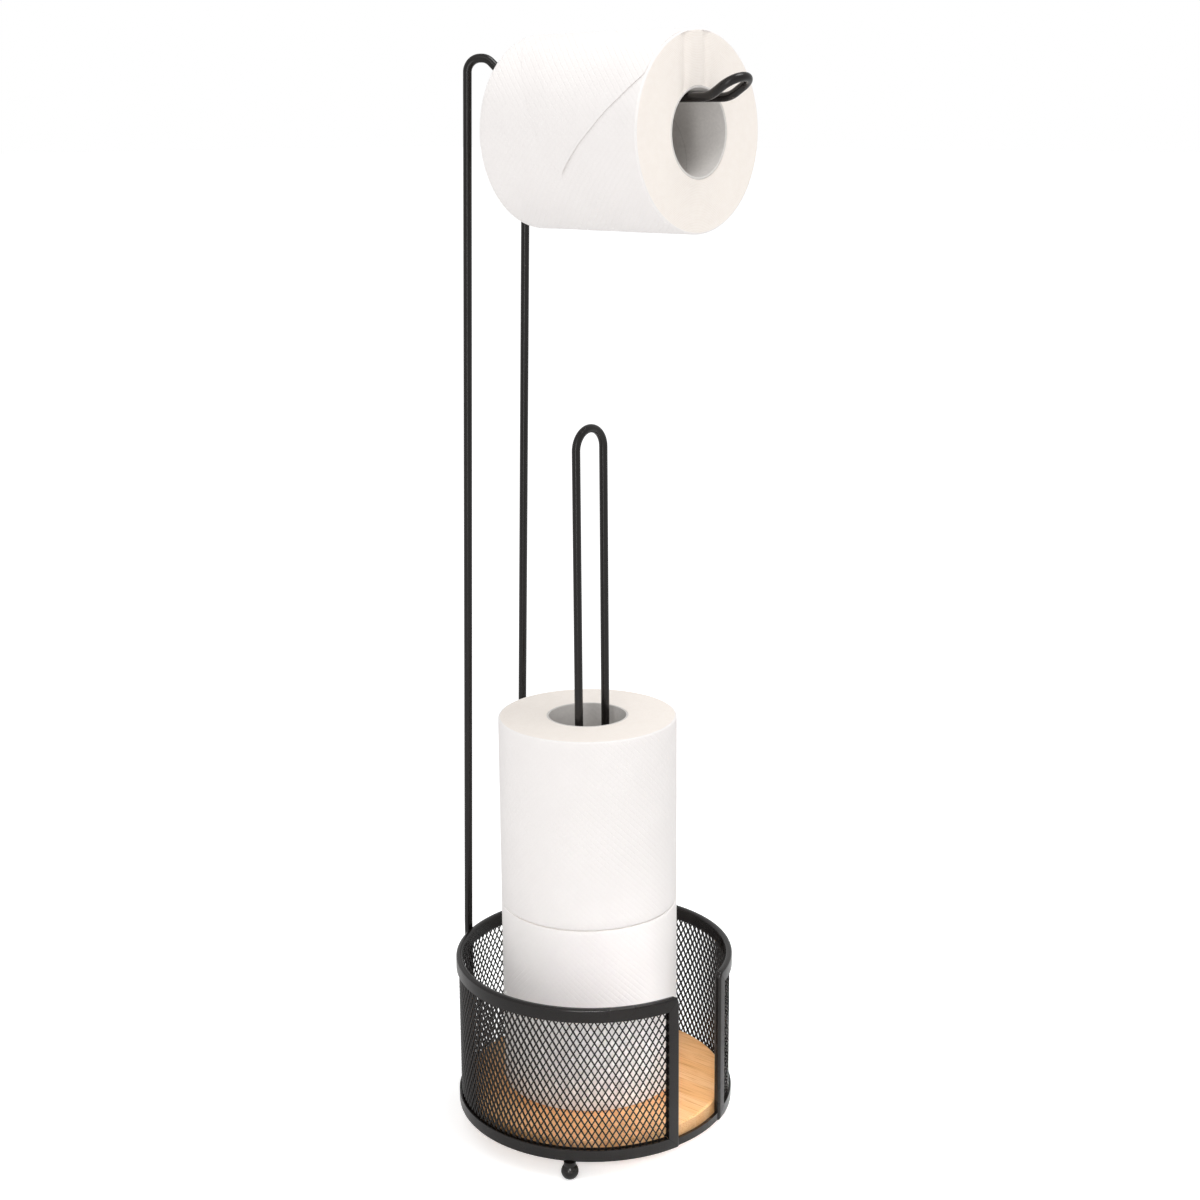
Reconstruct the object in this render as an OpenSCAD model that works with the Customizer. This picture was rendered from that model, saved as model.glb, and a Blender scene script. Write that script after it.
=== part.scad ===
// Free-standing toilet roll holder: a wire stand with a roll arm, over a round mesh basket
// that keeps two spare rolls on a spindle. Millimetres, +Z up. The origin is on the floor,
// under the basket's axis. The arm and the basket's opening face -Y, the legs stand at +Y.

/* [Wire] */
// Diameter of the bent wire of the legs, the arm and the spindle
wire_d = 4.4; // [3:0.1:6]

/* [Roll arm] */
// Height of the arm wires' centre line above the floor
arm_z = 545.3; // [480:1:620]
// Distance between the centre lines of the two arm wires
arm_spacing = 16; // [12:0.5:20]
// Distance from the basket's axis to where the arm turns up at its front
arm_reach = 81.5; // [78:0.5:110]
// Angle by which the loop at the arm's front end tilts up
loop_tilt = 32; // [10:1:45]
// Length of the tilted wires before the loop's half circle
loop_length = 8.8; // [7:0.2:14]
// Height of the hump that keeps the roll off the legs
hump_rise = 20; // [17:0.5:26]
// Bend radius of the hump's top and foot
hump_bend = 6.9; // [5:0.1:7]
// Distance from the basket's axis back to the hump's foot
hump_foot_y = 33; // [32.5:0.5:35]

/* [Legs] */
// Distance between the centre lines of the two legs
leg_spacing = 43.4; // [38:0.2:60]
// How far the legs lean forward by their tops
leg_lean = 14.4; // [0:0.2:16]

/* [Basket] */
// Outside diameter of the basket over its folded edge trim
basket_d = 150; // [140:1:180]
// Height of the basket wall, from the foot trim's underside to the rim
basket_h = 86; // [60:1:120]
// Clear height of the foot trim above the floor
ground_h = 10; // [9.6:0.2:16]
// Height of the folded trim round the rim
rim_trim_h = 7.4; // [6:0.1:12]
// Height of the folded trim round the foot
foot_trim_h = 7; // [6.6:0.1:10]
// Width of the folded trim down each side of the opening
side_trim_w = 6.8; // [6:0.1:12]
// Clear width of the front opening, along the wall
opening_w = 35; // [25:1:60]
// Thickness of the sheet that the trim is folded from
trim_sheet = 0.8; // [0.6:0.1:1.2]
// Radius of the rounded corners beside the opening, at the rim
corner_r = 4; // [2:0.5:5]

/* [Mesh] */
// Thickness of the expanded metal sheet
mesh_t = 1.2; // [0.8:0.1:1.6]
// Width of one strand of the mesh
strand_w = 1.5; // [1:0.1:2]
// Number of half columns of diamonds round the wall
mesh_columns = 76; // [40:2:76]
// Number of half rows of diamonds up the wall, always odd
mesh_rows = 9; // [5:2:9]

/* [Base] */
// Height of the flat steel ring inside the foot trim
ring_h = 4.2; // [3:0.1:4.6]
// Thickness of the flat steel ring
ring_t = 1.8; // [1.6:0.1:2.4]
// Thickness of the bamboo base disc
disc_t = 9; // [7:0.5:10]
// Size of the chamfer round the disc's upper edge
disc_chamfer = 0.8; // [0.4:0.1:1.2]
// Length of each steel tab that carries the disc
tab_l = 15; // [14:0.5:20]
// Width of each steel tab
tab_w = 14; // [12:0.5:18]
// Thickness of each steel tab
tab_t = 2; // [1.5:0.1:2.4]
// Diameter of the ball feet
foot_d = 9.2; // [8.8:0.1:9.2]
// Depth of the small flat under each ball foot
foot_flat = 0.3; // [0.2:0.05:0.5]

/* [Spindle] */
// Height of the spindle's top above the floor
spindle_top = 384; // [330:1:400]
// Distance between the centre lines of the spindle's two wires
spindle_spacing = 21.4; // [18:0.2:22]
// Diameter of the round plate that the spindle is welded to
plate_d = 29; // [27:0.5:29]
// Thickness of the round plate
plate_t = 1.5; // [1:0.1:2]

/* [Screws] */
// Diameter of the wood screws' shanks
screw_d = 3; // [2.5:0.1:3.5]
// Diameter of the screw heads
screw_head_d = 5.6; // [5:0.1:6]
// Height of the round screw heads under the tabs
screw_head_h = 2; // [1.5:0.1:2.4]

/* [Rolls] */
// Outside diameter of a paper roll
roll_d = 95; // [85:1:105]
// Width of a spare roll
roll_w = 103; // [95:1:106]
// Width of the hanging roll
hanging_w = 98; // [90:1:98]
// Bore of a roll's cardboard core
core_bore = 41; // [41:0.5:46]
// Wall of a roll's cardboard core
core_wall = 1.2; // [0.8:0.1:1.6]
// Radius of the soft edges of a paper roll
roll_edge = 1.6; // [0.8:0.2:3]
// Thickness of the loose folded end sheet
tail_t = 0.4; // [0.3:0.05:0.6]
// Distance from the basket's axis to the hanging roll's front face
roll_front = 70; // [70:0.5:74]
// Sideways offset of the spare rolls on their spindle
spare_x = 2; // [-2:0.5:2]
// Offset of the spare rolls towards the legs
spare_y = 5; // [-5:0.5:5]

/* [Clearances] */
// Gap between pieces that fit into or stand on each other
fit_gap = 0.1; // [0.05:0.05:0.15]
// Gap between a roll and the piece that it rests on
rest_gap = 0.3; // [0.2:0.05:0.4]
// Gap between the disc's edge and the foot trim
disc_gap = 0.6; // [0.4:0.1:1]

/* [Hidden] */

// Facets that the preview draws on round shapes
fine = 96;
wire_facets = 32;
weld_facets = 360;
// Sides of the bent wire, and the angle between its rings round a bend
wire_sides = 16;
bend_step = 15;

// Colours of the finishes
black_coat = "#3a3a3c";
bamboo_tan = "#e8bd85";
steel_grey = "#8c8f93";
paper_white = "#f4f1ec";
card_grey = "#b9aa97";

// How far a cutting shape runs past the faces that it cuts
past = 2;

function unit(v) = v / norm(v);

wire_r = wire_d / 2;
basket_r = basket_d / 2;

// The trim is a folded channel: two leaves with a slot between them for the ring and the mesh
slot_t = ring_t + 2 * fit_gap;
trim_t = slot_t + 2 * trim_sheet;
trim_inner_r = basket_r - trim_t;
wall_r = basket_r - trim_t / 2;

// Heights from the floor up
rim_z = ground_h + basket_h;
slot_z = ground_h + trim_sheet;
ring_z = slot_z + fit_gap;
ring_top = ring_z + ring_h;
mesh_z = ring_top + fit_gap;
mesh_top = rim_z - trim_sheet - fit_gap;
disc_z = ground_h + tab_t;
disc_top = disc_z + disc_t;
plate_top = disc_top + plate_t;

// Angles along the wall, measured from -Y
opening_half = opening_w / 2 / basket_r * 180 / PI;
trim_angle = side_trim_w / basket_r * 180 / PI;
mesh_margin = (trim_sheet + fit_gap) / basket_r * 180 / PI;
mesh_half_gap = opening_half + mesh_margin;

// Feet and tabs are at the back and at either side of the front
foot_angles = [-60, 60, 180];
tab_outer_r = trim_inner_r - fit_gap / 2;
tab_inner_r = tab_outer_r - tab_l;
foot_r = wall_r;
tab_margin = 1;
tab_screw_r = tab_inner_r + screw_head_d / 2 + tab_margin;
neck_d = foot_d * 0.7;

// Bamboo left beyond the tips of the screws
screw_cover = 1;
tab_screw_l = tab_t + disc_t - screw_cover;

// Legs stand against the outside of the trim
leg_x = leg_spacing / 2;
leg_r = basket_r + wire_r;
leg_y = sqrt(leg_r * leg_r - leg_x * leg_x);
leg_angle = asin(leg_x / leg_r);
bead_r = wire_r * 0.8;

// Half the route of the bent wire, from a leg's foot to the front loop
arm_x = arm_spacing / 2;
hump_z = arm_z + hump_rise;
lean_start = 3;
lean_bend = 60;
loop_bend = 14.5;

// The hump runs level across its top, then slopes down to the arm behind the roll
leg_top = [leg_x, leg_y - leg_lean, hump_z];
hump_foot = [arm_x, hump_foot_y, arm_z];
hump_way = unit([hump_foot.x - leg_top.x, hump_foot.y - leg_top.y, 0]);
hump_level = hump_bend * 1.5;
loop_start = [arm_x, -arm_reach - loop_length * cos(loop_tilt), arm_z + loop_length * sin(loop_tilt)];
wire_route = [
    [leg_x, leg_y, ground_h],
    [leg_x, leg_y, rim_z + lean_start],
    leg_top,
    leg_top + hump_way * hump_level,
    hump_foot,
    [arm_x, -arm_reach, arm_z],
    loop_start
];
wire_bends = [0, lean_bend, hump_bend, hump_bend, hump_bend, loop_bend, 0];

// Rolls
bore_r = core_bore / 2;
core_r = bore_r + core_wall;
paper_r = roll_d / 2;
skin_gap = 0.05;
paper_bore_r = core_r + skin_gap;
soft_step = roll_edge * 0.3;
hang_z = arm_z - sqrt(pow(bore_r - wire_r, 2) - arm_x * arm_x) + rest_gap;
roll_back = hanging_w - roll_front;
lower_z = disc_top + rest_gap;
upper_z = lower_z + roll_w + rest_gap;
spindle_x = spindle_spacing / 2;
spindle_bend_z = spindle_top - spindle_x - wire_r;
plate_margin = 1.5;
plate_screw_y = plate_d / 2 - screw_head_d / 2 - plate_margin;
plate_screw_l = plate_t + disc_t - screw_cover;

// Length that a bend takes from each of the two straights that meet at a corner
function bend_cut(p, q, r, bend) =
    bend * tan(acos(unit(q - p) * unit(r - q)) / 2);

// Points along the arc that rounds corner q, between the straights from p and to r
function bend_points(p, q, r, bend) = let (
    before = unit(q - p),
    after = unit(r - q),
    turn = acos(before * after),
    inward = unit(after - before * (before * after)),
    centre = q - before * bend_cut(p, q, r, bend) + inward * bend,
    steps = max(2, ceil(turn / bend_step))
) [for (k = [0:steps])
    let (a = turn * k / steps)
    centre + bend * (before * sin(a) - inward * cos(a))];

// The points of a route whose corners are rounded, from its first point to its last
function rounded_route(points, bends) = [
    points[0],
    for (i = [1:len(points) - 2]) each bend_points(points[i - 1], points[i], points[i + 1], bends[i]),
    points[len(points) - 1]
];

// Direction of a route at point i
function heading(route, i) = let (last = len(route) - 1)
    i == 0 ? unit(route[1] - route[0])
    : i == last ? unit(route[last] - route[last - 1])
    : unit(unit(route[i] - route[i - 1]) + unit(route[i + 1] - route[i]));

// Side directions along a route, each turned as little as it can be from the one before
function side_directions(route, i, before) = let (
    along = heading(route, i),
    side = unit(before - along * (before * along))
) i == len(route) - 1 ? [side] : concat([side], side_directions(route, i + 1, side));

// A round wire along a route, as one closed solid
module swept_wire(route, first_side) {
    sides = side_directions(route, 0, first_side);
    last = len(route) - 1;
    n = wire_sides;
    points = [for (i = [0:last]) for (k = [0:n - 1])
        let (up = cross(heading(route, i), sides[i]), a = k * 360 / n)
        route[i] + wire_r * (sides[i] * cos(a) + up * sin(a))];
    walls = [for (i = [0:last - 1]) for (k = [0:n - 1])
        let (a = i * n + k, b = i * n + (k + 1) % n)
        each [[a, a + n, b + n], [a, b + n, b]]];
    start_cap = [for (k = [1:n - 2]) [0, k, k + 1]];
    end_cap = [for (k = [1:n - 2]) [last * n, last * n + k + 1, last * n + k]];
    polyhedron(points = points, faces = concat(walls, start_cap, end_cap), convexity = 10);
}

// Both legs, both humps, the arm and its raised end loop, bent from one wire
module support_wire() {
    half = rounded_route(wire_route, wire_bends);
    loop = [for (a = [bend_step:bend_step:180 - bend_step])
        let (out = arm_x * sin(a))
        [arm_x * cos(a), loop_start.y - out * cos(loop_tilt), loop_start.z + out * sin(loop_tilt)]];
    other_half = [for (i = [len(half) - 1:-1:0]) [-half[i].x, half[i].y, half[i].z]];
    color(black_coat)
        swept_wire(concat(half, loop, other_half), [1, 0, 0]);
}

// The hairpin that the spare rolls stand round
module spindle_wire() {
    color(black_coat)
        union() {
            for (side = [-1, 1])
                translate([side * spindle_x, 0, plate_top])
                    cylinder(h = spindle_bend_z - plate_top, r = wire_r, $fn = wire_facets);
            translate([0, 0, spindle_bend_z])
                rotate([90, 0, 0])
                    rotate_extrude(angle = 180, $fn = fine)
                        translate([spindle_x, 0])
                            circle(r = wire_r, $fn = wire_facets);
        }
}

// The countersunk holes for the plate's two screws
module plate_screw_holes() {
    for (side = [-1, 1])
        translate([0, side * plate_screw_y, disc_top]) {
            translate([0, 0, -past])
                cylinder(h = plate_t + 2 * past, r = screw_d / 2 + fit_gap, $fn = fine);
            translate([0, 0, plate_t / 2])
                cylinder(h = plate_t, r = screw_head_d / 2 + fit_gap, $fn = fine);
        }
}

// The round steel plate under the spindle
module spindle_plate() {
    color(black_coat)
        difference() {
            translate([0, 0, disc_top])
                cylinder(h = plate_t, r = plate_d / 2, $fn = fine);
            plate_screw_holes();
        }
}

// Two flat-headed screws that hold the plate to the disc
module spindle_screws() {
    color(steel_grey)
        for (side = [-1, 1])
            translate([0, side * plate_screw_y, 0]) {
                translate([0, 0, plate_top - plate_screw_l])
                    cylinder(h = plate_screw_l - plate_t / 4, r = screw_d / 2, $fn = fine);
                translate([0, 0, disc_top + plate_t / 2])
                    cylinder(h = plate_t / 2, r = screw_head_d / 2, $fn = fine);
            }
}

// A sector of a ring that leaves out an angle each side of -Y
module wall_sector(inner, outer, z0, z1, half_gap) {
    rotate([0, 0, half_gap - 90])
        rotate_extrude(angle = 360 - 2 * half_gap, $fn = fine)
            translate([inner, z0])
                square([outer - inner, z1 - z0]);
}

// The square corner at the rim beside the opening, outside a round of the given radius
module rim_corner_waste(side, radius, inset) {
    angle = opening_half + inset / basket_r * 180 / PI;
    top = rim_z - inset;
    rotate([0, 0, side * angle])
        difference() {
            translate([side > 0 ? -past : -radius, -basket_r - past, top - radius])
                cube([radius + past, trim_t + 2 * past, radius + past]);
            translate([side * radius, -basket_r + trim_t + 2 * past, top - radius])
                rotate([90, 0, 0])
                    cylinder(h = trim_t + 4 * past, r = radius, $fn = fine);
        }
}

// The whole wall's outline as a solid, set in by an amount from its free edges
module wall_outline(inner, outer, inset, low) {
    inset_angle = inset / basket_r * 180 / PI;
    difference() {
        wall_sector(inner, outer, low, rim_z - inset, opening_half + inset_angle);
        for (side = [-1, 1])
            rim_corner_waste(side, corner_r - inset, inset);
    }
}

// The folded channel all round the wall, before it is cut into four lengths
module trim_frame() {
    difference() {
        wall_outline(trim_inner_r, basket_r, 0, ground_h);
        wall_outline(trim_inner_r + trim_sheet, basket_r - trim_sheet, trim_sheet, slot_z);
        wall_sector(trim_inner_r - past, basket_r + past, ground_h + foot_trim_h, rim_z - rim_trim_h,
            opening_half + trim_angle);
    }
}

// The hole that lets the base ring pass through a side trim's foot
module ring_passage(side) {
    rotate([0, 0, side * opening_half])
        translate([-past, -basket_r + trim_sheet, slot_z])
            cube([2 * past, slot_t, ring_h + 2 * fit_gap]);
}

// A block on one side of the mitre between a side trim and the rim or foot trim.
// Local X runs along the wall from the opening's edge, local Z up.
module mitre_block(side, edge_z, trim_h, above) {
    direction = edge_z > ground_h + basket_h / 2 ? -1 : 1;
    slope = atan2(trim_h, side_trim_w);
    length = norm([trim_h, side_trim_w]) + past;
    rotate([0, 0, side * opening_half])
        translate([0, -basket_r - past, edge_z])
            rotate([0, -side * direction * slope, 0])
                translate([side > 0 ? -past : -length, 0, above ? 0 : -length])
                    cube([length + past, trim_t + 2 * past, length]);
}

// The folded trim round the rim
module rim_trim() {
    color(black_coat)
        difference() {
            intersection() {
                trim_frame();
                translate([0, 0, rim_z - rim_trim_h])
                    cylinder(h = rim_trim_h + past, r = basket_r + past, $fn = fine);
            }
            for (side = [-1, 1])
                mitre_block(side, rim_z, rim_trim_h, false);
        }
}

// The folded trim round the foot, mitred where it meets the side trims
module foot_trim() {
    top = ground_h + foot_trim_h;
    color(black_coat)
        difference() {
            wall_sector(trim_inner_r, basket_r, ground_h, top, opening_half - trim_angle / 8);
            wall_sector(trim_inner_r + trim_sheet, basket_r - trim_sheet, slot_z, top + past,
                opening_half - trim_angle / 4);
            for (side = [-1, 1])
                mitre_block(side, ground_h, foot_trim_h, true);
        }
}

// The folded trim down one side of the opening, mitred at both ends
module side_trim(side) {
    difference() {
        intersection() {
            trim_frame();
            rotate([0, 0, side * (opening_half + trim_angle / 2)])
                translate([-side_trim_w / 2, -basket_r - past, ground_h - past])
                    cube([side_trim_w, trim_t + 2 * past, basket_h + 2 * past]);
        }
        mitre_block(side, rim_z, rim_trim_h, true);
        mitre_block(side, ground_h, foot_trim_h, false);
        ring_passage(side);
    }
}

module left_side_trim() {
    color(black_coat)
        side_trim(-1);
}

module right_side_trim() {
    color(black_coat)
        side_trim(1);
}

// The flat steel ring that closes the foot across the opening
module base_ring() {
    color(black_coat)
        rotate_extrude($fn = fine)
            translate([wall_r - ring_t / 2, ring_z])
                square([ring_t, ring_h]);
}

// Points of the mesh: i counts half columns, j half rows
mesh_step_angle = (360 - 2 * mesh_half_gap) / mesh_columns;
mesh_step_w = mesh_step_angle / 180 * PI * wall_r;
mesh_step_h = (mesh_top - mesh_z) / mesh_rows;
strand_cut = strand_w / 2 / sin(atan2(mesh_step_h, mesh_step_w));
hole_scale = 1 - strand_cut / mesh_step_w;

function mesh_point(i, j, r) =
    let (a = mesh_half_gap - 90 + i * mesh_step_angle)
    [r * cos(a), r * sin(a), mesh_z + j * mesh_step_h];

function grid_index(i, j) = (j * (mesh_columns + 1) + i) * 2;

// Holes sit at the grid points whose i + j is even, away from the sheet's edges
holes = [for (j = [1:mesh_rows - 1]) for (i = [1:mesh_columns - 1]) if ((i + j) % 2 == 0) [i, j]];
edge_tiles = [for (j = [0:mesh_rows]) for (i = [0:mesh_columns])
    if ((i + j) % 2 == 0 && (i == 0 || i == mesh_columns || j == 0 || j == mesh_rows)) [i, j]];
corner_steps = [[1, 0], [0, 1], [-1, 0], [0, -1]];
grid_count = 2 * (mesh_columns + 1) * (mesh_rows + 1);

function on_sheet(i, j) = i >= 0 && i <= mesh_columns && j >= 0 && j <= mesh_rows;

// The three corners of a tile at the sheet's edge; at a corner of the sheet one is its own point
function edge_corners(i, j) = let (
    ring = [for (s = corner_steps) if (on_sheet(i + s.x, j + s.y)) grid_index(i + s.x, j + s.y)]
) len(ring) == 2 ? concat([grid_index(i, j)], ring) : ring;

// The expanded metal sheet, bent round the basket, with its edges inside the trim
module mesh_wall() {
    outer = wall_r + mesh_t / 2;
    inner = wall_r - mesh_t / 2;
    grid_points = [for (j = [0:mesh_rows]) for (i = [0:mesh_columns]) for (r = [outer, inner])
        mesh_point(i, j, r)];
    hole_points = [for (h = holes) for (s = corner_steps) for (r = [outer, inner])
        mesh_point(h.x + s.x * hole_scale, h.y + s.y * hole_scale, r)];
    hole_faces = [for (n = [0:len(holes) - 1]) for (k = [0:3])
        let (
            here = corner_steps[k],
            next = corner_steps[(k + 1) % 4],
            a = grid_index(holes[n].x + here.x, holes[n].y + here.y),
            b = grid_index(holes[n].x + next.x, holes[n].y + next.y),
            c = grid_count + n * 8 + k * 2,
            d = grid_count + n * 8 + ((k + 1) % 4) * 2
        )
        each [
            [a, d, b], [a, c, d],
            [a + 1, b + 1, d + 1], [a + 1, d + 1, c + 1],
            [c, c + 1, d + 1], [c, d + 1, d]
        ]];
    edge_faces = [for (t = edge_tiles)
        let (c = edge_corners(t.x, t.y))
        each [[c[0], c[2], c[1]], [c[0] + 1, c[1] + 1, c[2] + 1]]];
    bottom = edge_run([for (i = [0:mesh_columns]) if (i % 2 == 1 || i == 0 || i == mesh_columns)
        grid_index(i, 0)]);
    right = edge_run([for (j = [0:mesh_rows])
        if ((mesh_columns + j) % 2 == 1 || j == 0 || j == mesh_rows) grid_index(mesh_columns, j)]);
    top = edge_run([for (i = [mesh_columns:-1:0])
        if ((i + mesh_rows) % 2 == 1 || i == 0 || i == mesh_columns) grid_index(i, mesh_rows)]);
    left = edge_run([for (j = [mesh_rows:-1:0]) if (j % 2 == 1 || j == 0 || j == mesh_rows)
        grid_index(0, j)]);
    color(black_coat)
        polyhedron(
            points = concat(grid_points, hole_points),
            faces = concat(hole_faces, edge_faces, bottom, right, top, left),
            convexity = 10);
}

// The narrow wall along one edge of the sheet
function edge_run(ids) = [for (k = [0:len(ids) - 2])
    each [[ids[k], ids[k + 1], ids[k + 1] + 1], [ids[k], ids[k + 1] + 1, ids[k] + 1]]];

// Three flat tabs inside the foot, which carry the disc
module disc_tabs() {
    color(black_coat)
        for (angle = foot_angles)
            rotate([0, 0, angle])
                difference() {
                    intersection() {
                        translate([-tab_w / 2, -tab_outer_r - past, ground_h])
                            cube([tab_w, tab_l + past, tab_t]);
                        translate([0, 0, ground_h - past])
                            cylinder(h = tab_t + 2 * past, r = tab_outer_r, $fn = fine);
                    }
                    translate([0, -tab_screw_r, ground_h - past])
                        cylinder(h = tab_t + 2 * past, r = screw_d / 2 + fit_gap, $fn = fine);
                }
}

// Three round-headed wood screws, up through the tabs into the disc
module disc_screws() {
    color(steel_grey)
        for (angle = foot_angles)
            rotate([0, 0, angle])
                translate([0, -tab_screw_r, 0]) {
                    translate([0, 0, ground_h - screw_head_h])
                        cylinder(h = screw_head_h, r = screw_head_d / 2, $fn = fine);
                    translate([0, 0, ground_h - screw_head_h / 2])
                        cylinder(h = tab_screw_l + screw_head_h / 2, r = screw_d / 2, $fn = fine);
                }
}

// The bamboo base, with pilot holes for all the screws
module bamboo_disc() {
    edge_r = trim_inner_r - disc_gap;
    color(bamboo_tan)
        difference() {
            rotate_extrude($fn = fine)
                polygon([
                    [0, disc_z],
                    [edge_r, disc_z],
                    [edge_r, disc_top - disc_chamfer],
                    [edge_r - disc_chamfer, disc_top],
                    [0, disc_top]
                ]);
            for (angle = foot_angles)
                rotate([0, 0, angle])
                    translate([0, -tab_screw_r, disc_z - past])
                        cylinder(h = tab_screw_l - tab_t + past + fit_gap, r = screw_d / 2 + fit_gap / 2,
                            $fn = fine);
            for (side = [-1, 1])
                translate([0, side * plate_screw_y, plate_top - plate_screw_l - fit_gap])
                    cylinder(h = plate_screw_l, r = screw_d / 2 + fit_gap / 2, $fn = fine);
        }
}

// Three ball feet, each with a short neck welded under the foot trim and a small flat to stand on
module ball_feet() {
    color(black_coat)
        for (angle = foot_angles)
            rotate([0, 0, angle])
                translate([0, -foot_r, 0])
                    difference() {
                        union() {
                            translate([0, 0, foot_d / 2 - foot_flat])
                                sphere(r = foot_d / 2, $fn = fine);
                            translate([0, 0, foot_d / 2])
                                cylinder(h = ground_h - foot_d / 2, r = neck_d / 2, $fn = fine);
                        }
                        translate([-foot_d, -foot_d, -foot_d])
                            cube([2 * foot_d, 2 * foot_d, foot_d]);
                    }
}

// Weld beads between each leg and the rim and foot trims
module leg_welds() {
    color(black_coat)
        difference() {
            for (side = [-1, 1])
                for (z = [ground_h + foot_trim_h / 2, rim_z - rim_trim_h / 2])
                    rotate([0, 0, 180 - side * (leg_angle - bead_r / leg_r * 180 / PI)])
                        translate([0, -basket_r - bead_r / 2, z])
                            sphere(r = bead_r, $fn = fine);
            for (side = [-1, 1])
                translate([side * leg_x, leg_y, 0])
                    cylinder(h = rim_z + past, r = wire_r, $fn = wire_facets);
            cylinder(h = rim_z + past, r = basket_r, $fn = weld_facets);
        }
}

// The wound paper of one roll, standing on end at the origin
module paper_winding(width) {
    rotate_extrude($fn = fine)
        polygon([
            [paper_bore_r, 0],
            [paper_r - roll_edge, 0],
            [paper_r - soft_step, soft_step],
            [paper_r, roll_edge],
            [paper_r, width - roll_edge],
            [paper_r - soft_step, width - soft_step],
            [paper_r - roll_edge, width],
            [paper_bore_r, width]
        ]);
}

// The cardboard core of one roll, standing on end at the origin
module cardboard_core(width) {
    difference() {
        cylinder(h = width, r = core_r, $fn = fine);
        translate([0, 0, -past])
            cylinder(h = width + 2 * past, r = bore_r, $fn = fine);
    }
}

// Moves a standing roll onto the arm, with its axis along Y
module on_arm() {
    translate([0, roll_back, hang_z])
        rotate([90, 0, 0])
            children();
}

// Moves a standing roll onto the spindle at a height
module on_spindle(z) {
    translate([spare_x, spare_y, z])
        children();
}

module hanging_roll_paper() {
    color(paper_white)
        on_arm()
            paper_winding(hanging_w);
}

module hanging_roll_core() {
    color(card_grey)
        on_arm()
            cardboard_core(hanging_w);
}

// The loose end sheet, folded to a point and lying on the roll's side. Angles are from the
// top of the roll down its -X side; the outline is in shares of the roll's width and radius.
tail_start = 15;
tail_end = 114;
tail_outline = [
    [1, 0.97], [1, 0.5], [0.93, 0.18], [0.82, -0.05], [0.68, -0.24], [0.56, -0.38],
    [0.49, -0.29], [0.44, -0.15], [0.38, 0.14], [0.28, 0.43], [0.1, 0.8], [0, 0.97]
];

module hanging_roll_tail() {
    color(paper_white)
        on_arm()
            intersection() {
                rotate([0, 0, 90 + tail_start])
                    rotate_extrude(angle = tail_end - tail_start, $fn = fine)
                        translate([paper_r + skin_gap, roll_edge])
                            square([tail_t, hanging_w - 2 * roll_edge]);
                rotate([0, -90, 0])
                    linear_extrude(height = paper_r + past)
                        polygon([for (p = tail_outline) [p.x * hanging_w, p.y * (paper_r + tail_t)]]);
            }
}

module upper_roll_paper() {
    color(paper_white)
        on_spindle(upper_z)
            paper_winding(roll_w);
}

module upper_roll_core() {
    color(card_grey)
        on_spindle(upper_z)
            cardboard_core(roll_w);
}

module lower_roll_paper() {
    color(paper_white)
        on_spindle(lower_z)
            paper_winding(roll_w);
}

module lower_roll_core() {
    color(card_grey)
        on_spindle(lower_z)
            cardboard_core(roll_w);
}

support_wire();
spindle_wire();
spindle_plate();
spindle_screws();
rim_trim();
foot_trim();
left_side_trim();
right_side_trim();
base_ring();
mesh_wall();
disc_tabs();
disc_screws();
bamboo_disc();
ball_feet();
leg_welds();
hanging_roll_paper();
hanging_roll_core();
hanging_roll_tail();
upper_roll_paper();
upper_roll_core();
lower_roll_paper();
lower_roll_core();
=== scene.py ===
"""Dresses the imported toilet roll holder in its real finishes: powder-coated wire and folded trim,
expanded metal, bamboo, and three paper rolls. Metres, in the same frame as the CAD."""

import math

import bmesh
import bpy
from bpy.props import FloatProperty, FloatVectorProperty, IntProperty, PointerProperty
from mathutils import Matrix, Vector, noise


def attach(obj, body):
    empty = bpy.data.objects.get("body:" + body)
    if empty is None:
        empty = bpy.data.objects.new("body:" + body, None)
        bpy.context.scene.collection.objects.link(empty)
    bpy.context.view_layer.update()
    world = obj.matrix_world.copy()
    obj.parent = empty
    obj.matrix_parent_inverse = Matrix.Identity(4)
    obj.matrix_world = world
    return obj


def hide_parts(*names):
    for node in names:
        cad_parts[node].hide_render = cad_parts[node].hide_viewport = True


bl_info = {
    "name": "Toilet roll holder",
    "version": (1, 0, 0),
    "blender": (4, 5, 0),
    "location": "View3D > Sidebar > Roll holder",
    "description": "Builds the finished pieces of a wire toilet roll holder round its CAD frame",
    "category": "Object",
}

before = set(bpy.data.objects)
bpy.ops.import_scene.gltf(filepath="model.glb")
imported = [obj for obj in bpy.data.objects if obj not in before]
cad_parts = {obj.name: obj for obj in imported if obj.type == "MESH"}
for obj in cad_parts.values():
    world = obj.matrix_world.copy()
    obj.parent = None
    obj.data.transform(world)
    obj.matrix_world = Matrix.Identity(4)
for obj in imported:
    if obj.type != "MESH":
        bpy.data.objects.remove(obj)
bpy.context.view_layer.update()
MM = 0.001
# Width of the card strip that a roll's core is wound from
PLY_WIDTH = 70 * MM


def hex_colour(text):
    """The linear red, green and blue of an sRGB hex value."""
    channels = [int(text[i:i + 2], 16) / 255 for i in (1, 3, 5)]
    return tuple(c / 12.92 if c <= 0.04045 else ((c + 0.055) / 1.055) ** 2.4 for c in channels)


def size(name, description, default_mm):
    """A length property, given in millimetres."""
    return FloatProperty(name=name, description=description, default=default_mm * MM, unit="LENGTH",
                         precision=5)


def colour(name, description, default_hex):
    """A colour property, given as an sRGB hex value."""
    return FloatVectorProperty(name=name, description=description, default=hex_colour(default_hex),
                               subtype="COLOR", min=0.0, max=1.0)


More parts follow.
